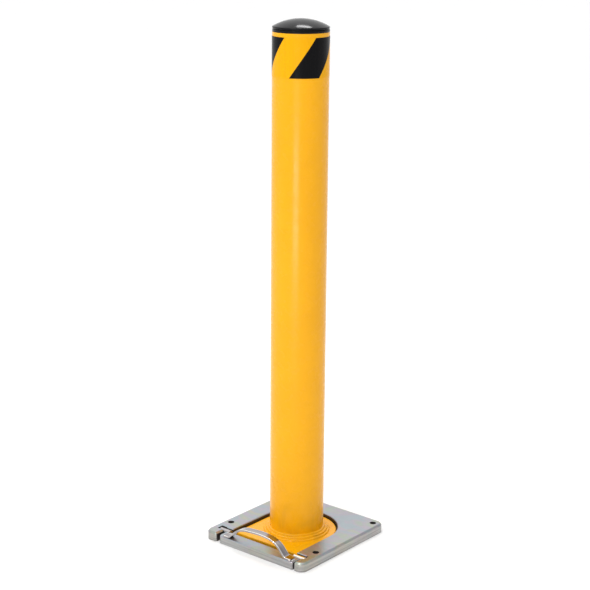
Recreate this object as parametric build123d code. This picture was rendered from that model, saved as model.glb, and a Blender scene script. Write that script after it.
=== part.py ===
"""Removable steel safety bollard: a yellow pipe post on a shoe plate, held in a U-shaped steel base plate.

A lock bar with an arched lifting handle drops into open-topped slots in the two arms of the base plate and
closes the front of the U. Millimetres, +Z up. The origin is the centre of the base plate on the ground,
and the lock bar is on the -Y side.
"""
import math
import os

from build123d import *

# Post and cap
POST_DIAMETER = 114.3
POST_WALL = 6.0
POST_TOP = 1070.6
POST_Y = 3.7
POST_RADIUS = POST_DIAMETER / 2
POST_BORE_RADIUS = POST_RADIUS - POST_WALL
CAP_RISE = 25.5
CAP_FLANGE = 5.0
CAP_GROOVE = 2.0
CAP_LIP = 3.0
CAP_SKIRT_LENGTH = 32.0
CAP_SKIRT_WALL = 2.5
CAP_RIB_COUNT = 12
CAP_RIB_THICKNESS = 1.6
CAP_FIT_GAP = 0.05

# Reflective tape round the top of the post
TAPE_BOTTOM = 984.4
TAPE_WIDTH = 78.2
TAPE_THICKNESS = 0.35

# Base plate
BASE_X = 268.0
BASE_Y = 279.0
BASE_THICKNESS = 20.0
BASE_CORNER_RADIUS = 15.0
EDGE_CHAMFER = 3.5
OPENING_RADIUS = 88.5
OPENING_CHAMFER = 1.5
FRONT_Y = -BASE_Y / 2

# Anchor holes through the base plate
ANCHOR_RADIUS = 7.0
ANCHOR_SPACING_X = 235.0
ANCHOR_FRONT_Y = -75.7
ANCHOR_REAR_Y = 120.5

# Shoe plate under the post, and the multi-pass weld that joins them
SHOE_THICKNESS = 13.5
SHOE_GAP = 3.0
SHOE_RADIUS = OPENING_RADIUS - SHOE_GAP
SHOE_FRONT_Y = -97.0
SHOE_CORNER_RADIUS = 4.0
SHOE_CHAMFER = 1.5
WELD_FOOT = 16.0
WELD_RISE = 12.0
WELD_PASSES = 4

# Lock bar
BAR_LEFT = -97.0
BAR_RIGHT = 107.0
BAR_REAR_Y = -110.5
BAR_HEIGHT = 16.5
BAR_END_RADIUS = 9.0
BAR_CORNER_RADIUS = 4.0
BAR_CHAMFER = 1.4
LUG_LEFT = -103.5
LUG_RIGHT = 111.0
LUG_CORNER_RADIUS = 4.0

# Lock rods on the back of the bar, and the slots that they drop into
ROD_RADIUS = 6.5
ROD_Z = 13.0
ROD_SETBACK = 1.5
ROD_Y = BAR_REAR_Y + ROD_SETBACK
ROD_CHAMFER = 1.0
ROD_SPANS = {"left_lock_rod": (-117.0, -88.0), "right_lock_rod": (88.0, 117.5)}
SLOT_CLEARANCE = 1.0
SLOT_OUTER_X = 119.5
SLOT_RADIUS = ROD_RADIUS + SLOT_CLEARANCE
ROD_BEAD_RADIUS = 1.6
FOOT_BEAD_RADIUS = 2.5

# Arched handle: a flat strap with a foot at each end
STRAP_WIDTH = 18.0
STRAP_THICKNESS = 4.0
STRAP_EDGE_RADIUS = 1.5
STRAP_END_RADIUS = 6.0
STRAP_Y = -129.5
STRAP_FOOT_Z = BAR_HEIGHT + STRAP_THICKNESS / 2
STRAP_PATH = [
    (-85.0, STRAP_FOOT_Z),
    (-70.0, STRAP_FOOT_Z),
    (-40.0, 46.0),
    (18.0, 50.8),
    (58.0, 47.0),
    (84.0, STRAP_FOOT_Z),
    (101.0, STRAP_FOOT_Z),
]
STRAP_BENDS = [8.0, 60.0, 200.0, 50.0, 10.0]


def box(x_low, x_high, y_low, y_high, z_low, z_high):
    """A block given by its limits."""
    size = (x_high - x_low, y_high - y_low, z_high - z_low)
    centre = ((x_low + x_high) / 2, (y_low + y_high) / 2, (z_low + z_high) / 2)
    return Pos(*centre) * Box(*size)


def top_edges(solid, height):
    """The edges that lie wholly at one height."""
    return solid.edges().filter_by(lambda edge: abs(edge.bounding_box().min.Z - height) < 1e-4
                                   and abs(edge.bounding_box().max.Z - height) < 1e-4)


def u_outline(radius, front_y):
    """A plan shape with straight sides and a round back, about the post's axis."""
    straight = Pos(0, (front_y + POST_Y) / 2) * Rectangle(2 * radius, POST_Y - front_y)
    return straight + Pos(0, POST_Y) * Circle(radius)


def in_opening(edge):
    """Whether an edge of the base plate borders the opening."""
    middle = edge @ 0.5
    return LUG_LEFT - 0.1 < middle.X < LUG_RIGHT + 0.1 and middle.Y < POST_Y + OPENING_RADIUS + 0.1


def anchor_centres():
    return [(side * ANCHOR_SPACING_X / 2, y) for side in (-1, 1) for y in (ANCHOR_FRONT_Y, ANCHOR_REAR_Y)]


def socket_frame():
    """The U-shaped base plate with its lugs, rod slots and anchor holes."""
    slot_back_y = ROD_Y + SLOT_RADIUS
    plan = RectangleRounded(BASE_X, BASE_Y, BASE_CORNER_RADIUS)
    plan -= u_outline(OPENING_RADIUS, slot_back_y)
    mouth_width = LUG_RIGHT - LUG_LEFT
    mouth_depth = slot_back_y - FRONT_Y
    mouth_centre = ((LUG_LEFT + LUG_RIGHT) / 2, (FRONT_Y + slot_back_y) / 2)
    plan -= Pos(*mouth_centre) * Rectangle(mouth_width, mouth_depth)
    frame = extrude(plan, BASE_THICKNESS)
    mouth = [edge for edge in frame.edges().filter_by(Axis.Z)
             if abs(edge.center().Y - FRONT_Y) < 0.1 and LUG_LEFT - 0.1 < edge.center().X < LUG_RIGHT + 0.1]
    frame = fillet(mouth, LUG_CORNER_RADIUS)
    frame = chamfer([edge for edge in top_edges(frame, BASE_THICKNESS) if not in_opening(edge)], EDGE_CHAMFER)
    frame = chamfer([edge for edge in top_edges(frame, BASE_THICKNESS) if in_opening(edge)], OPENING_CHAMFER)
    for side in (-1, 1):
        channel = Pos(0, ROD_Y, ROD_Z) * Rot(0, 90, 0) * Cylinder(SLOT_RADIUS, 2 * SLOT_OUTER_X)
        open_top = box(-SLOT_OUTER_X, SLOT_OUTER_X, ROD_Y - SLOT_RADIUS, slot_back_y,
                       ROD_Z, BASE_THICKNESS + 1)
        lane = box(min(0, side * BASE_X), max(0, side * BASE_X), FRONT_Y, 0, -1, BASE_THICKNESS + 2)
        frame -= (channel + open_top) & lane
    for x, y in anchor_centres():
        frame -= Pos(x, y, BASE_THICKNESS / 2) * Cylinder(ANCHOR_RADIUS, BASE_THICKNESS + 1)
    return frame


def shoe_plate():
    """The plate under the post: it fills the U with a narrow gap all round."""
    plate = extrude(u_outline(SHOE_RADIUS, SHOE_FRONT_Y), SHOE_THICKNESS)
    upright = [edge for edge in plate.edges().filter_by(Axis.Z) if edge.center().Y < SHOE_FRONT_Y + 1]
    plate = fillet(upright, SHOE_CORNER_RADIUS)
    return chamfer(top_edges(plate, SHOE_THICKNESS), SHOE_CHAMFER)


def base_weld():
    """Weld beads laid one over another in rings, from the shoe plate up to the post."""
    slope = math.atan2(WELD_RISE, WELD_FOOT)
    length = math.hypot(WELD_RISE, WELD_FOOT)
    bead = length / (2 * WELD_PASSES)
    start = (POST_RADIUS + WELD_FOOT, SHOE_THICKNESS)
    profile = make_face(Plane.XZ * Polyline(start, (POST_RADIUS, SHOE_THICKNESS + WELD_RISE),
                                            (POST_RADIUS, SHOE_THICKNESS), close=True))
    ring = revolve(profile, Axis.Z)
    for index in range(WELD_PASSES):
        along = (2 * index + 1) * bead
        radius = start[0] - along * math.cos(slope) - 0.35 * bead * math.sin(slope)
        height = start[1] + along * math.sin(slope) - 0.35 * bead * math.cos(slope)
        ring += Pos(0, 0, height) * Torus(radius, bead * 1.12)
    keep = extrude(Circle(POST_RADIUS + WELD_FOOT + 5) - Circle(POST_RADIUS), WELD_RISE * 2)
    return Pos(0, POST_Y, 0) * (ring & (Pos(0, 0, SHOE_THICKNESS) * keep))


def post_tube():
    """The round pipe, open at both ends, standing on the shoe plate."""
    ring = Circle(POST_RADIUS) - Circle(POST_BORE_RADIUS)
    return Pos(0, POST_Y, SHOE_THICKNESS) * extrude(ring, POST_TOP - SHOE_THICKNESS)


def post_cap():
    """The domed push-in cap, with a grooved rim, a hollow dome and a ribbed skirt down the bore."""
    rim = CAP_FLANGE + CAP_GROOVE + CAP_LIP
    dome_rise = CAP_RISE - rim
    dome_radius = (POST_RADIUS ** 2 + dome_rise ** 2) / (2 * dome_rise)
    skirt_radius = POST_BORE_RADIUS - CAP_RIB_THICKNESS
    z = POST_TOP
    arc_middle_radius = POST_RADIUS * 0.5
    arc_middle = z + CAP_RISE - dome_radius + math.sqrt(dome_radius ** 2 - arc_middle_radius ** 2)
    side = Polyline((0, z + CAP_RISE), (0, z), (POST_RADIUS, z), (POST_RADIUS, z + CAP_FLANGE),
                    (POST_RADIUS - CAP_GROOVE, z + CAP_FLANGE + CAP_GROOVE / 2),
                    (POST_RADIUS, z + CAP_FLANGE + CAP_GROOVE), (POST_RADIUS, z + rim))
    dome = ThreePointArc((POST_RADIUS, z + rim), (arc_middle_radius, arc_middle), (0, z + CAP_RISE))
    crown = make_face(Plane.XZ * (side + dome))
    cap = revolve(crown, Axis.Z)
    skirt = extrude(Circle(skirt_radius) - Circle(skirt_radius - CAP_SKIRT_WALL), -CAP_SKIRT_LENGTH)
    cap += Pos(0, 0, z) * skirt
    for index in range(CAP_RIB_COUNT):
        rib = box(skirt_radius - CAP_SKIRT_WALL / 2, POST_BORE_RADIUS - CAP_FIT_GAP,
                  -CAP_RIB_THICKNESS / 2, CAP_RIB_THICKNESS / 2, z - CAP_SKIRT_LENGTH, z)
        cap += Rot(0, 0, index * 360 / CAP_RIB_COUNT) * rib
    hollow = extrude(Circle(skirt_radius - CAP_SKIRT_WALL), CAP_FLANGE + CAP_GROOVE)
    cap -= Pos(0, 0, z) * hollow
    return Pos(0, POST_Y, 0) * cap


def hazard_tape():
    """One wrap of reflective tape round the post."""
    ring = Circle(POST_RADIUS + TAPE_THICKNESS) - Circle(POST_RADIUS)
    return Pos(0, POST_Y, TAPE_BOTTOM) * extrude(ring, TAPE_WIDTH)


def rod_blank(name, radius):
    """A cylinder along one rod's span."""
    low, high = ROD_SPANS[name]
    return Pos((low + high) / 2, ROD_Y, ROD_Z) * Rot(0, 90, 0) * Cylinder(radius, high - low)


def lock_rod(name):
    """A round rod with chamfered ends, welded to the back of the bar, whose outer end lies in a slot."""
    rod = rod_blank(name, ROD_RADIUS)
    return chamfer(rod.edges().filter_by(GeomType.CIRCLE), ROD_CHAMFER)


def lock_bar():
    """The bar that closes the front of the U, with a groove for each rod."""
    bar = box(BAR_LEFT, BAR_RIGHT, FRONT_Y, BAR_REAR_Y, 0, BAR_HEIGHT)
    for upright in bar.edges().filter_by(Axis.Z):
        place = upright.center()
        front_left = place.X < 0 and place.Y < STRAP_Y
        radius = BAR_END_RADIUS if front_left else BAR_CORNER_RADIUS
        bar = fillet(bar.edges().sort_by_distance(place)[0], radius)
    bar = chamfer(top_edges(bar, BAR_HEIGHT), BAR_CHAMFER)
    for name in ROD_SPANS:
        bar -= rod_blank(name, ROD_RADIUS)
    return bar


def rod_welds():
    """A bead above and below each rod, along the corners where it meets the bar's top and back."""
    top_y = ROD_Y - math.sqrt(ROD_RADIUS ** 2 - (BAR_HEIGHT - ROD_Z) ** 2)
    low_z = ROD_Z - math.sqrt(ROD_RADIUS ** 2 - ROD_SETBACK ** 2)
    beads = []
    for name, (low, high) in ROD_SPANS.items():
        low = max(low, BAR_LEFT + BAR_CORNER_RADIUS)
        high = min(high, BAR_RIGHT - BAR_CORNER_RADIUS)
        for y, z in ((top_y, BAR_HEIGHT), (BAR_REAR_Y, low_z)):
            bead = Pos((low + high) / 2, y, z) * Rot(0, 90, 0) * Cylinder(ROD_BEAD_RADIUS, high - low - 1)
            beads.append(bead - rod_blank(name, ROD_RADIUS) - lock_bar())
    return Compound(children=[solid for bead in beads for solid in bead.solids()])


def lift_handle():
    """The strap, bent into a low arch, with rounded edges and rounded ends to its feet."""
    path = Plane.XZ.offset(-STRAP_Y) * FilletPolyline(*STRAP_PATH, radius=STRAP_BENDS)
    start = Plane(origin=path @ 0, x_dir=(0, 1, 0), z_dir=path % 0)
    strap = sweep(start * RectangleRounded(STRAP_WIDTH, STRAP_THICKNESS, STRAP_EDGE_RADIUS), path=path)
    low, high = STRAP_PATH[0][0], STRAP_PATH[-1][0]
    plan = RectangleRounded(high - low, STRAP_WIDTH, STRAP_END_RADIUS)
    return strap & (Pos((low + high) / 2, STRAP_Y) * extrude(plan, 2 * STRAP_PATH[3][1]))


def handle_welds():
    """A bead across the end of each foot, joining the strap to the top of the bar."""
    beads = []
    for end_x, inward in ((STRAP_PATH[0][0], 1), (STRAP_PATH[-1][0], -1)):
        bead = Pos(end_x - inward * FOOT_BEAD_RADIUS / 4, STRAP_Y, BAR_HEIGHT) * Rot(90, 0, 0)
        bead = bead * Cylinder(FOOT_BEAD_RADIUS, STRAP_WIDTH * 0.7)
        above_bar = box(BAR_LEFT, BAR_RIGHT, FRONT_Y, BAR_REAR_Y, BAR_HEIGHT, BAR_HEIGHT + FOOT_BEAD_RADIUS)
        beads.append((bead & above_bar) - lift_handle())
    return Compound(children=[solid for bead in beads for solid in bead.solids()])


def write(name, shape):
    shape.label = name
    export_step(shape, f"parts/{name}.step")


def main():
    os.makedirs("parts", exist_ok=True)
    write("socket_frame", socket_frame())
    write("shoe_plate", shoe_plate())
    write("base_weld", base_weld())
    write("post_tube", post_tube())
    write("post_cap", post_cap())
    write("hazard_tape", hazard_tape())
    write("lock_bar", lock_bar())
    for name in ROD_SPANS:
        write(name, lock_rod(name))
    write("rod_welds", rod_welds())
    write("lift_handle", lift_handle())
    write("handle_welds", handle_welds())


main()
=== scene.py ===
"""The looks of the removable safety bollard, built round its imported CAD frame. Metres, +Z up."""
import math

import bmesh
import bpy
from mathutils import Matrix, Vector


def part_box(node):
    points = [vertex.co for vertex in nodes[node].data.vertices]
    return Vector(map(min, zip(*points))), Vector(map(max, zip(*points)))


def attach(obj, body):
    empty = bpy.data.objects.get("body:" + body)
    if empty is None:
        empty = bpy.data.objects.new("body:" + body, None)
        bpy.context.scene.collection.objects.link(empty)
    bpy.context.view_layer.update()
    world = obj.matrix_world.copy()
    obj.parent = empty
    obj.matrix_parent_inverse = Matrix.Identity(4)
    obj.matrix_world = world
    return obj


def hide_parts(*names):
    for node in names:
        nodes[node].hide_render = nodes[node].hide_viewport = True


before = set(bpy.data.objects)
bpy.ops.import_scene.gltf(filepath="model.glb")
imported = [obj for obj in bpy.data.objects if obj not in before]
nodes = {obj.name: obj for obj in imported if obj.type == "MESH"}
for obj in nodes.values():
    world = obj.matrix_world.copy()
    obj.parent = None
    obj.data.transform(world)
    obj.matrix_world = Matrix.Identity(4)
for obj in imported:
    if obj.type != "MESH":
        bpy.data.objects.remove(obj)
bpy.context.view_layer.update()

MM = 0.001

# The frame's own dimensions, read from its nodes
base_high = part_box("socket_frame")[1]
post_low, post_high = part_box("post_tube")
bar_low, bar_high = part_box("lock_bar")
tape_low, tape_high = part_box("hazard_tape")
weld_low, weld_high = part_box("base_weld")
foot_weld_low, foot_weld_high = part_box("handle_welds")
strap_low, strap_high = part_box("lift_handle")
POST_RADIUS = (post_high.x - post_low.x) / 2
POST_Y = (post_low.y + post_high.y) / 2
STRAP_Y = (strap_low.y + strap_high.y) / 2
STRAP_HALF = (strap_high.y - strap_low.y) / 2

# Rounded edges of the CAD plates and of the cap
PLATE_EDGE = 0.5 * MM
CAP_EDGE = 1.4 * MM
MERGE_DISTANCE = 0.002 * MM
FLAT_ANGLE = math.radians(0.5)
SHARP_ANGLE = math.radians(28)

# The rings of weld round the post's foot: beads, mesh points round the post and up the weld, and
# the ripples' pitch and height
RING_PASSES = 3
RING_TURNS = 900
RING_STEPS = 45
RING_RIPPLE = 2.0 * MM
RING_RIPPLE_HEIGHT = 0.10 * MM
# A bead's height over its edges, and the edges' depth under the CAD weld's slope
RING_BULGE = 2.3 * MM
RING_SINK = 1.5 * MM
# How far the rings start inside the CAD weld's rim, and reach into the shoe plate and the post
RING_INSET = 1.2 * MM
RING_BURIED = 0.3 * MM
RING_OVERLAP = 0.4 * MM

# The straight weld beads on the lock bar, those of the rods stopping short of its rounded corners
BEAD_RIPPLE = 1.3 * MM
BEAD_RINGS_PER_RIPPLE = 8
BEAD_SIDES = 20
BEAD_TIP = 0.02 * MM
ROD_BEAD_RADIUS = 1.6 * MM
FOOT_BEAD_RADIUS = 2.5 * MM
BAR_CORNER = 4 * MM

# The tape's free end, lapped over its start at the back of the post
LAP_START = math.radians(172)
LAP_END = math.radians(190)
LAP_STEPS = 12
LAP_RAISED = 0.25 * MM
LAP_BURIED = 0.1 * MM
LAP_EDGE = 0.3 * MM
LAP_TIP = 0.15 * MM

# Printed bands of the tape, measured along the tape
BAND_START = 16 * MM
BAND_WIDTH = 62 * MM
BAND_PITCH = 126.7 * MM
BAND_SLANT = 0.69
BAND_BLUR = 0.3 * MM
BAND_WANDER = 0.15 * MM

# Painted shade darkens the walls inside the base plate's outline: how far in that starts, and over
# what width
WALL_INSET, WALL_BLEND = 3 * MM, 1 * MM
CORNER_INSET, CORNER_BLEND = 17 * MM, 2 * MM

# Camera, nudged up and to its left to line the render up with the photograph
CAMERA_AZIMUTH = math.radians(39.59)
CAMERA_ELEVATION = math.radians(15.23)
CAMERA_ROLL = math.radians(0.49)
CAMERA_PLACE = Vector((1.90050, -2.30447, 1.34592))
CAMERA_NUDGE = 1.03 * MM
CAMERA_LENS = 91.72
SENSOR_WIDTH = 36

# Studio lights: name, azimuth in degrees from -Y towards +X, distance from the Z axis, height,
# size and watts. Each one faces LIGHT_TARGET.
LIGHTS = (
    ("key", 0, 2.3, 3.1, (0.45, 0.45), 28),
    ("top", -147, 1.15, 2.9, (0.6, 0.25), 9),
    ("low_fill", 25, 2.6, 0.20, (0.9, 0.5), 11),
)
LIGHT_TARGET = Vector((0, 0, 0.9))

# The light from a direction of the studio is the product of these factors. Each has a centre
# direction, the dot products with it where it starts and ends its change, and what it becomes.
STUDIO_GLOWS = (
    ((0, 0, 1), 0.25, 0.85, 1.60),             # brighter overhead
    ((0.9, 0.62, 0.30), 0.30, 0.95, 0.45),     # dimmer to the picture's right
    ((0.62, -0.76, 0.10), 0.15, 0.95, 0.42),   # darkest towards the front corner
    ((-0.80, -0.60, 0.10), 0.45, 0.95, 0.62),  # dimmer to the picture's left
)
FLOOR_SIZE = 60


class Shader:
    """A material's node tree, with short calls that add nodes and return their outputs."""

    def __init__(self, name, **settings):
        self.material = bpy.data.materials.new(name)
        self.material.use_nodes = True
        self.tree = self.material.node_tree
        self.surface = self.tree.nodes["Principled BSDF"]
        for socket, value in settings.items():
            self.surface.inputs[socket.replace("_", " ")].default_value = value

    def node(self, kind, settings=None, **inputs):
        """A new node. Inputs are named as its sockets are, or _0, _1 and so on by their place."""
        made = self.tree.nodes.new("ShaderNode" + kind)
        for name, value in (settings or {}).items():
            setattr(made, name, value)
        for name, value in inputs.items():
            key = int(name[1:]) if name[1:].isdigit() else name.replace("_", " ")
            self.feed(made.inputs[key], value)
        return made

    def feed(self, socket, value):
        if isinstance(value, bpy.types.NodeSocket):
            self.tree.links.new(value, socket)
        else:
            socket.default_value = value

    def place(self, stretch=(1, 1, 1)):
        """The point in the object's own frame, with each axis scaled."""
        point = self.node("TexCoord").outputs["Object"]
        return self.node("Mapping", Vector=point, Scale=stretch).outputs[0]

    def axes(self, vector=None):
        """The X, Y and Z of a vector, or of the point in the object's own frame."""
        return self.node("SeparateXYZ", Vector=vector or self.place()).outputs

    def noise(self, scale, detail=3.0, stretch=(1, 1, 1), distortion=0.0):
        return self.node("TexNoise", Vector=self.place(stretch), Scale=scale, Detail=detail,
                         Distortion=distortion).outputs["Fac"]

    def math(self, operation, a, b=0.0):
        return self.node("Math", {"operation": operation}, _0=a, _1=b).outputs[0]

    def times(self, a, b):
        return self.math("MULTIPLY", a, b)

    def ramp(self, value, low, high, to_low=0.0, to_high=1.0):
        """value, from low..high to to_low..to_high, kept between them."""
        return self.node("MapRange", Value=value, From_Min=low, From_Max=high,
                         To_Min=to_low, To_Max=to_high).outputs[0]

    def mix(self, share, a, b):
        made = self.node("Mix", {"data_type": "RGBA"})
        for socket, value in ((made.inputs[0], share), (made.inputs[6], a), (made.inputs[7], b)):
            self.feed(socket, value)
        return made.outputs[2]

    def bump(self, height, depth, strength=1.0, below=None):
        made = self.node("Bump", Height=height, Distance=depth, Strength=strength)
        if below is not None:
            self.feed(made.inputs["Normal"], below)
        return made.outputs[0]

    def set(self, **inputs):
        for name, value in inputs.items():
            self.feed(self.surface.inputs[name.replace("_", " ")], value)
        return self.material


def rgb(red, green, blue):
    return (red, green, blue, 1.0)


def powder_coat():
    """Glossy yellow powder coat: orange peel, a faint mottle, a few nibs, and darker brownish
    patches low down.
    """
    s = Shader("yellow_powder_coat", Specular_IOR_Level=0.22, Coat_Weight=0.06,
               Coat_Roughness=0.08)
    mottle = s.ramp(s.noise(9, 4, distortion=0.6), 0.3, 0.7)
    colour = s.mix(mottle, rgb(0.90, 0.415, 0.002), rgb(0.94, 0.440, 0.003))
    # Darker, rougher brownish patches towards the bottom of the post.
    low_down = s.ramp(s.axes()["Z"], 0.03, 0.16, 1.0, 0.0)
    low_dark_patches = s.times(s.ramp(s.noise(22, 5, (1, 1, 0.6), 1.2), 0.5, 0.72), low_down)
    colour = s.mix(s.times(low_dark_patches, 0.30), colour, rgb(0.50, 0.27, 0.015))
    peel = s.noise(420, 2)
    nibs = s.node("TexVoronoi", Vector=s.place(), Scale=130).outputs["Distance"]
    nibs = s.ramp(nibs, 0.0, 0.09, 1.0, 0.0)
    gloss = s.ramp(s.noise(60, 4), 0.3, 0.7, 0.20, 0.31)
    gloss = s.math("ADD", gloss, s.times(low_dark_patches, 0.12))
    normal = s.bump(peel, 0.09 * MM, 0.55)
    normal = s.bump(nibs, 0.05 * MM, 0.35, normal)
    return s.set(Base_Color=colour, Roughness=gloss, Normal=normal)


def zinc_plate():
    """Zinc plated steel: a soft mirror with faint rainbow tints and fine rolling marks, with
    rougher layered cut edges, and painted shade on the walls inside the base plate's opening."""
    s = Shader("zinc_plated_steel", Metallic=0.8)
    rainbow = s.node("ValToRGB", Fac=s.noise(11, 4, (1, 1.3, 1), 1.8))
    stops = ((0.30, (0.365, 0.380, 0.430)), (0.40, (0.340, 0.405, 0.430)),
             (0.48, (0.415, 0.370, 0.425)), (0.55, (0.360, 0.420, 0.355)),
             (0.63, (0.450, 0.400, 0.340)), (0.72, (0.380, 0.390, 0.410)))
    elements = rainbow.color_ramp.elements
    while len(elements) < len(stops):
        elements.new(0.5)
    for element, (position, colour) in zip(elements, stops):
        element.position = position
        element.color = rgb(*colour)
    patches = s.ramp(s.noise(34, 5, (1, 1, 1), 0.8), 0.35, 0.7, 0.0, 0.22)
    colour = s.mix(patches, rainbow.outputs["Color"], rgb(0.31, 0.32, 0.35))
    grain = s.noise(170, 4, (1, 0.12, 1))
    scratches = s.ramp(s.noise(260, 2, (0.04, 1, 1), 0.3), 0.66, 0.74)

    up = s.axes(s.node("NewGeometry").outputs["Normal"])["Z"]
    side = s.ramp(s.math("ABSOLUTE", up), 0.2, 0.6, 1.0, 0.0)
    cut = s.noise(420, 3, (1, 1, 0.07))
    colour = s.mix(s.times(side, 0.6), colour, rgb(0.52, 0.50, 0.46))
    layers = s.times(s.ramp(s.noise(330, 3, (0.02, 0.02, 1)), 0.42, 0.60), side)
    colour = s.mix(s.times(layers, 0.45), colour, rgb(0.20, 0.20, 0.21))

    # Painted shade: the walls inside the base plate's outline, of its holes, slots and opening, are
    # darkened to near black.
    point = s.axes()
    out_x, out_y = s.math("ABSOLUTE", point["X"]), s.math("ABSOLUTE", point["Y"])
    inner = side
    for out, edge, blend in (
            (out_x, base_high.x - WALL_INSET, WALL_BLEND),
            (out_y, base_high.y - WALL_INSET, WALL_BLEND),
            (s.math("ADD", out_x, out_y), base_high.x + base_high.y - CORNER_INSET, CORNER_BLEND)):
        inner = s.times(inner, s.ramp(out, edge - blend, edge, 1.0, 0.0))
    colour = s.mix(s.times(inner, 0.86), colour, rgb(0.045, 0.035, 0.03))

    gloss = s.ramp(s.noise(48, 4, distortion=0.5), 0.3, 0.7, 0.28, 0.40)
    gloss = s.math("ADD", gloss, s.times(side, 0.10))
    normal = s.bump(grain, 0.02 * MM, 0.35)
    normal = s.bump(scratches, 0.015 * MM, 0.3, normal)
    normal = s.bump(s.times(cut, side), 0.25 * MM, 0.6, normal)
    return s.set(Base_Color=colour, Roughness=gloss, Normal=normal)


def zinc_polished(name, dull, bright):
    """Bright plating with fine draw marks along X, and a painted highlight along the strap's edges.
    """
    s = Shader(name, Metallic=1.0)
    face = s.mix(s.ramp(s.noise(30, 4, (0.3, 2, 1), 1.0), 0.35, 0.65), dull, bright)
    # Painted highlight: a lighter band just inside each long edge of the strap, where its rounded
    # edges would catch the light.
    across = s.math("ABSOLUTE", s.math("SUBTRACT", s.axes()["Y"], STRAP_Y))
    painted_edge_highlight = s.times(s.ramp(across, STRAP_HALF - 2.4 * MM, STRAP_HALF - 1.2 * MM),
                  s.ramp(across, STRAP_HALF - 0.4 * MM, STRAP_HALF - 0.1 * MM, 1.0, 0.0))
    colour = s.mix(painted_edge_highlight, face, rgb(0.86, 0.84, 0.80))
    gloss = s.ramp(s.noise(70, 4), 0.3, 0.7, 0.10, 0.20)
    normal = s.bump(s.noise(300, 3, (0.03, 1, 1)), 0.02 * MM, 0.35)
    return s.set(Base_Color=colour, Roughness=gloss, Normal=normal)


def weld_zinc():
    """Plated weld metal: duller, with fine ripples along X."""
    s = Shader("weld_zinc", Metallic=1.0)
    colour = s.mix(s.ramp(s.noise(160, 3, distortion=0.6), 0.35, 0.65),
                   rgb(0.42, 0.40, 0.38), rgb(0.58, 0.57, 0.55))
    ripple = s.node("TexWave", {"wave_type": "BANDS", "bands_direction": "X"},
                    Vector=s.place(), Scale=140, Distortion=3.0, Detail=2.0).outputs["Fac"]
    gloss = s.ramp(s.noise(200, 3), 0.3, 0.7, 0.26, 0.42)
    return s.set(Base_Color=colour, Roughness=gloss, Normal=s.bump(ripple, 0.12 * MM, 0.6))


def black_plastic():
    """Glossy moulded plastic with a fine flow texture and light handling marks."""
    s = Shader("black_plastic", IOR=1.24)
    colour = s.mix(s.noise(40, 3), rgb(0.004, 0.004, 0.005), rgb(0.008, 0.008, 0.009))
    marks = s.ramp(s.noise(35, 6, (1, 1, 1), 2.0), 0.5, 0.75)
    gloss = s.ramp(marks, 0.0, 1.0, 0.14, 0.24)
    return s.set(Base_Color=colour, Roughness=gloss, Normal=s.bump(s.noise(700, 2), 0.02 * MM, 0.4))


def hazard_film():
    """Reflective tape: yellow film with slanting black bands over a fine cell pattern."""
    s = Shader("hazard_film", IOR=1.25, Specular_IOR_Level=0.3)
    point = s.axes()
    from_axis = s.math("SUBTRACT", POST_Y, point["Y"])
    along = s.times(s.math("ARCTAN2", point["X"], from_axis), POST_RADIUS)
    rise = s.times(s.math("SUBTRACT", point["Z"], tape_low.z), BAND_SLANT)
    phase = s.math("SUBTRACT", s.math("SUBTRACT", along, rise), BAND_START)
    phase = s.math("FLOORED_MODULO", phase, BAND_PITCH)
    wander = s.ramp(s.noise(900, 2), 0.3, 0.7, -BAND_WANDER, BAND_WANDER)
    wandered = s.math("ADD", phase, wander)
    inside = s.times(s.ramp(phase, 0.0, BAND_BLUR),
                     s.ramp(wandered, BAND_WIDTH, BAND_WIDTH + BAND_BLUR, 1.0, 0.0))
    cells = s.node("TexVoronoi", {"feature": "DISTANCE_TO_EDGE"}, Vector=s.place(), Scale=420,
                   Randomness=0.25).outputs["Distance"]
    cells = s.ramp(cells, 0.02, 0.12)
    yellow = s.mix(cells, rgb(0.86, 0.39, 0.004), rgb(0.92, 0.440, 0.003))
    black = s.mix(cells, rgb(0.006, 0.0055, 0.006), rgb(0.003, 0.003, 0.0035))
    gloss = s.ramp(s.noise(50, 4), 0.3, 0.7, 0.20, 0.30)
    return s.set(Base_Color=s.mix(inside, yellow, black), Roughness=gloss,
                 Normal=s.bump(cells, 0.02 * MM, 0.5))


def floor_paint():
    """A pale matt floor with a barely visible mottle."""
    s = Shader("pale_floor", Specular_IOR_Level=0.2)
    colour = s.mix(s.noise(3, 3), rgb(0.955, 0.955, 0.955), rgb(0.975, 0.975, 0.975))
    return s.set(Base_Color=colour, Roughness=0.8)


def coat(material, *names):
    """Gives CAD nodes their material."""
    for name in names:
        mesh = nodes[name].data
        mesh.materials.clear()
        mesh.materials.append(material)


def soften(names, width, segments):
    """Rounds CAD nodes' sharp edges with modifiers, so that they catch the light."""
    for name in names:
        piece = nodes[name]
        join = piece.modifiers.new("join", "WELD")
        join.merge_threshold = MERGE_DISTANCE
        flat = piece.modifiers.new("flatten", "DECIMATE")
        flat.decimate_type = "DISSOLVE"
        flat.angle_limit = FLAT_ANGLE
        bevel = piece.modifiers.new("soften", "BEVEL")
        bevel.width = width
        bevel.segments = segments
        bevel.limit_method = "ANGLE"
        bevel.angle_limit = SHARP_ANGLE
        bevel.harden_normals = True


def round_post(radius, angle, z):
    """The point at a radius and height, at an angle from -Y towards +X round the post's axis."""
    return (radius * math.sin(angle), POST_Y - radius * math.cos(angle), z)


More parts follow.
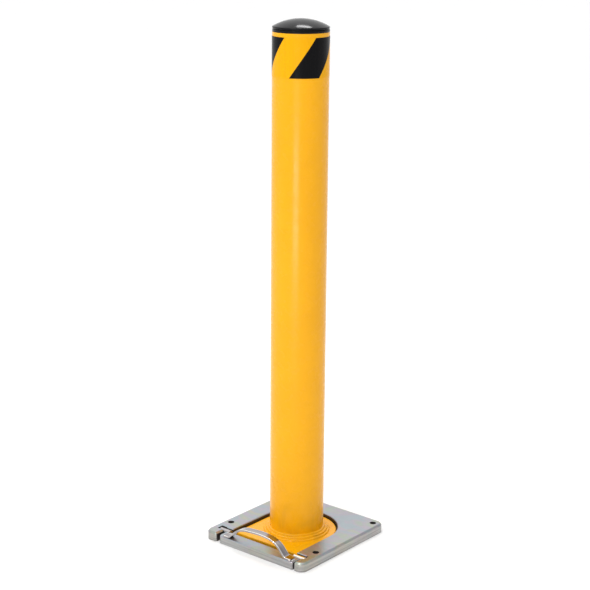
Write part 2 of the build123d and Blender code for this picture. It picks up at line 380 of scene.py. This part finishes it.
def add_piece(name, points, faces, material, body, stands_for=None):
    """A new smooth mesh piece that rides on a body."""
    mesh = bpy.data.meshes.new(name)
    mesh.from_pydata(points, [], faces)
    shape = bmesh.new()
    shape.from_mesh(mesh)
    bmesh.ops.recalc_face_normals(shape, faces=shape.faces)
    for face in shape.faces:
        face.smooth = True
    shape.to_mesh(mesh)
    shape.free()
    mesh.materials.append(material)
    piece = bpy.data.objects.new(name, mesh)
    bpy.context.collection.objects.link(piece)
    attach(piece, body)
    if stands_for:
        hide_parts(stands_for)


def weld_ring(material):
    """The rings of weld round the post's foot: beads one above another, each finely rippled."""
    low, high = weld_low.z, weld_high.z
    bottom = low - RING_BURIED
    slope = Vector((POST_RADIUS - weld_high.x, high - low))
    lift = Vector((slope.y, -slope.x)).normalized()
    start = Vector((weld_high.x - RING_INSET, low))
    run = Vector((POST_RADIUS, high)) - start
    ripples = round(2 * math.pi * POST_RADIUS / RING_RIPPLE)
    points = []
    for turn in range(RING_TURNS):
        angle = 2 * math.pi * turn / RING_TURNS
        profile = [Vector((POST_RADIUS - RING_OVERLAP, bottom)), Vector((start.x, bottom))]
        for step in range(RING_STEPS + 1):
            along = step / RING_STEPS
            sway = 0.10 * math.sin(3 * angle + 2 * along) + 0.06 * math.sin(7 * angle + 5 * along)
            across = (along * RING_PASSES + sway * math.sin(math.pi * along)) % 1.0
            bead = int(min(along * RING_PASSES, RING_PASSES - 1))
            crown = math.sin(math.pi * across) ** 0.6 * math.sin(math.pi * along) ** 0.25
            chevron = math.sin(ripples * angle + 1.7 * bead + 5 * (across - 0.5) ** 2)
            rise = (RING_BULGE + RING_RIPPLE_HEIGHT * chevron) * crown - RING_SINK
            profile.append(start + run * along + lift * rise)
        points.extend(round_post(radius, angle, max(z, bottom)) for radius, z in profile)
    size = RING_STEPS + 3
    faces = []
    for turn in range(RING_TURNS):
        here, there = turn * size, (turn + 1) % RING_TURNS * size
        faces.extend((here + b, here + (b + 1) % size, there + (b + 1) % size, there + b)
                     for b in range(size))
    add_piece("base_weld_rings", points, faces, material, "bollard", "base_weld")


def weld_beads(name, spans, radius, material, stands_for):
    """Rippled beads with rounded ends, each along the straight line between two points."""
    points, faces = [], []
    for start, end in spans:
        run = end - start
        first = Vector((0, 0, 1)).cross(run).normalized()
        second = run.cross(first).normalized()
        rings = int(run.length / BEAD_RIPPLE * BEAD_RINGS_PER_RIPPLE)
        base = len(points)
        for ring in range(rings + 1):
            along = ring / rings
            end_taper = (1 - abs(2 * along - 1) ** 5) ** 0.5
            ripple = 1 + 0.09 * math.sin(2 * math.pi * along * run.length / BEAD_RIPPLE)
            wander = 0.12 * radius * math.sin(9 * along + 40 * start.x)
            reach = max(radius * end_taper * ripple, BEAD_TIP)
            for side in range(BEAD_SIDES):
                angle = 2 * math.pi * side / BEAD_SIDES
                points.append(start + run * along + first * (wander + reach * math.cos(angle))
                              + second * reach * 0.9 * math.sin(angle))
        last = base + rings * BEAD_SIDES
        for low in range(base, last, BEAD_SIDES):
            for side in range(BEAD_SIDES):
                a, b = low + side, low + (side + 1) % BEAD_SIDES
                faces.append((a, b, b + BEAD_SIDES, a + BEAD_SIDES))
        faces.append(tuple(range(base, base + BEAD_SIDES)))
        faces.append(tuple(range(last, last + BEAD_SIDES)))
    add_piece(name, points, faces, material, "lock_gate", stands_for)


def rod_bead_spans():
    """Along the corners where each rod meets the bar's top and back."""
    spans = []
    for name in ("left_lock_rod", "right_lock_rod"):
        low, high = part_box(name)
        start = max(low.x, bar_low.x + BAR_CORNER)
        end = min(high.x, bar_high.x - BAR_CORNER)
        radius = (high.z - low.z) / 2
        middle = (low + high) / 2
        top_y = middle.y - math.sqrt(radius ** 2 - (bar_high.z - middle.z) ** 2)
        low_z = middle.z - math.sqrt(radius ** 2 - (bar_high.y - middle.y) ** 2)
        for y, z in ((top_y, bar_high.z), (bar_high.y, low_z)):
            spans.append((Vector((start, y, z)), Vector((end, y, z))))
    return spans


def foot_bead_spans():
    """Across the end of each foot of the handle."""
    return [(Vector((x, foot_weld_low.y, bar_high.z)), Vector((x, foot_weld_high.y, bar_high.z)))
            for x in (foot_weld_low.x + FOOT_BEAD_RADIUS, foot_weld_high.x - FOOT_BEAD_RADIUS)]


def tape_lap(material):
    """The tape's free end, a closed strip that stands just proud of the tape below it."""
    inner, outer = tape_high.x - LAP_BURIED, tape_high.x + LAP_RAISED
    points = []
    for step in range(LAP_STEPS + 1):
        angle = LAP_START + (LAP_END - LAP_START) * step / LAP_STEPS
        crest = outer if 0 < step < LAP_STEPS else outer - LAP_TIP
        points.extend(round_post(radius, angle, z) for radius, z in (
            (inner, tape_low.z), (crest, tape_low.z + LAP_EDGE),
            (crest, tape_high.z - LAP_EDGE), (inner, tape_high.z)))
    faces = [(4 * a + b, 4 * a + (b + 1) % 4, 4 * a + 4 + (b + 1) % 4, 4 * a + 4 + b)
             for a in range(LAP_STEPS) for b in range(4)]
    faces += [(0, 1, 2, 3), tuple(4 * LAP_STEPS + b for b in range(4))]
    add_piece("tape_lap", points, faces, material, "bollard")


def make_camera():
    back = Vector((math.sin(CAMERA_AZIMUTH) * math.cos(CAMERA_ELEVATION),
                   -math.cos(CAMERA_AZIMUTH) * math.cos(CAMERA_ELEVATION),
                   math.sin(CAMERA_ELEVATION)))
    right = (-back).cross(Vector((0, 0, 1))).normalized()
    up = right.cross(-back)
    cosine, sine = math.cos(CAMERA_ROLL), math.sin(CAMERA_ROLL)
    right, up = cosine * right + sine * up, cosine * up - sine * right
    data = bpy.data.cameras.new("camera")
    data.lens = CAMERA_LENS
    data.sensor_width = SENSOR_WIDTH
    camera = bpy.data.objects.new("camera", data)
    bpy.context.collection.objects.link(camera)
    place = CAMERA_PLACE + CAMERA_NUDGE * (up - right)
    turn = Matrix((right, up, back)).transposed().to_4x4()
    camera.matrix_world = Matrix.Translation(place) @ turn
    bpy.context.scene.camera = camera


def soft_box(name, azimuth, distance, height, size, power):
    """A rectangular studio light that faces the post."""
    data = bpy.data.lights.new(name, "AREA")
    data.shape = "RECTANGLE"
    data.size, data.size_y = size
    data.energy = power
    light = bpy.data.objects.new(name, data)
    bpy.context.collection.objects.link(light)
    turn = math.radians(azimuth)
    place = Vector((math.sin(turn) * distance, -math.cos(turn) * distance, height))
    light.location = place
    light.rotation_euler = (LIGHT_TARGET - place).to_track_quat("-Z", "Y").to_euler()


def make_world():
    """A white studio that lights the object unevenly, and is plain white behind it."""
    world = bpy.data.worlds.new("studio")
    bpy.context.scene.world = world
    world.use_nodes = True
    tree = world.node_tree
    background = tree.nodes["Background"]
    direction = tree.nodes.new("ShaderNodeTexCoord").outputs["Generated"]

    def glow(towards, low, high, factor):
        dot = tree.nodes.new("ShaderNodeVectorMath")
        dot.operation = "DOT_PRODUCT"
        tree.links.new(direction, dot.inputs[0])
        dot.inputs[1].default_value = Vector(towards).normalized()
        span = tree.nodes.new("ShaderNodeMapRange")
        span.interpolation_type = "SMOOTHSTEP"
        tree.links.new(dot.outputs["Value"], span.inputs["Value"])
        for socket, value in (("From Min", low), ("From Max", high),
                              ("To Min", 1.0), ("To Max", factor)):
            span.inputs[socket].default_value = value
        return span.outputs[0]

    strength, *others = (glow(*settings) for settings in STUDIO_GLOWS)
    for other in others:
        product = tree.nodes.new("ShaderNodeMath")
        product.operation = "MULTIPLY"
        tree.links.new(strength, product.inputs[0])
        tree.links.new(other, product.inputs[1])
        strength = product.outputs[0]
    seen = tree.nodes.new("ShaderNodeMix")
    seen.data_type = "FLOAT"
    is_camera_ray = tree.nodes.new("ShaderNodeLightPath").outputs["Is Camera Ray"]
    tree.links.new(is_camera_ray, seen.inputs[0])
    tree.links.new(strength, seen.inputs[2])
    seen.inputs[3].default_value = 1.0
    tree.links.new(seen.outputs[0], background.inputs["Strength"])
    background.inputs["Color"].default_value = rgb(1, 1, 1)


def make_floor():
    bpy.ops.mesh.primitive_plane_add(size=FLOOR_SIZE)
    floor = bpy.context.object
    floor.name = "floor"
    floor.data.materials.append(floor_paint())


paint = powder_coat()
film = hazard_film()
weld_metal = weld_zinc()
# Both lock rods are the same zinc: the right rod wears a lighter cream copy, a painted highlight,
# and the left rod the strap's darker zinc, painted shade.
strap_and_shaded_rod_metal = zinc_polished("strap_zinc", rgb(0.30, 0.27, 0.28), rgb(0.50, 0.47, 0.46))
lit_rod_metal = zinc_polished("lit_rod_zinc", rgb(0.76, 0.72, 0.64), rgb(0.88, 0.85, 0.78))
coat(paint, "shoe_plate", "base_weld", "post_tube")
coat(zinc_plate(), "socket_frame", "lock_bar")
coat(weld_metal, "rod_welds", "handle_welds")
coat(strap_and_shaded_rod_metal, "lift_handle", "left_lock_rod")
coat(lit_rod_metal, "right_lock_rod")
coat(black_plastic(), "post_cap")
coat(film, "hazard_tape")
soften(("socket_frame", "lock_bar", "shoe_plate"), PLATE_EDGE, segments=3)
soften(("post_cap",), CAP_EDGE, segments=4)
weld_ring(paint)
weld_beads("rod_weld_beads", rod_bead_spans(), ROD_BEAD_RADIUS, weld_metal, "rod_welds")
weld_beads("handle_weld_beads", foot_bead_spans(), FOOT_BEAD_RADIUS, weld_metal, "handle_welds")
tape_lap(film)

make_camera()
make_world()
make_floor()
for settings in LIGHTS:
    soft_box(*settings)
bpy.context.scene.view_settings.view_transform = "Standard"
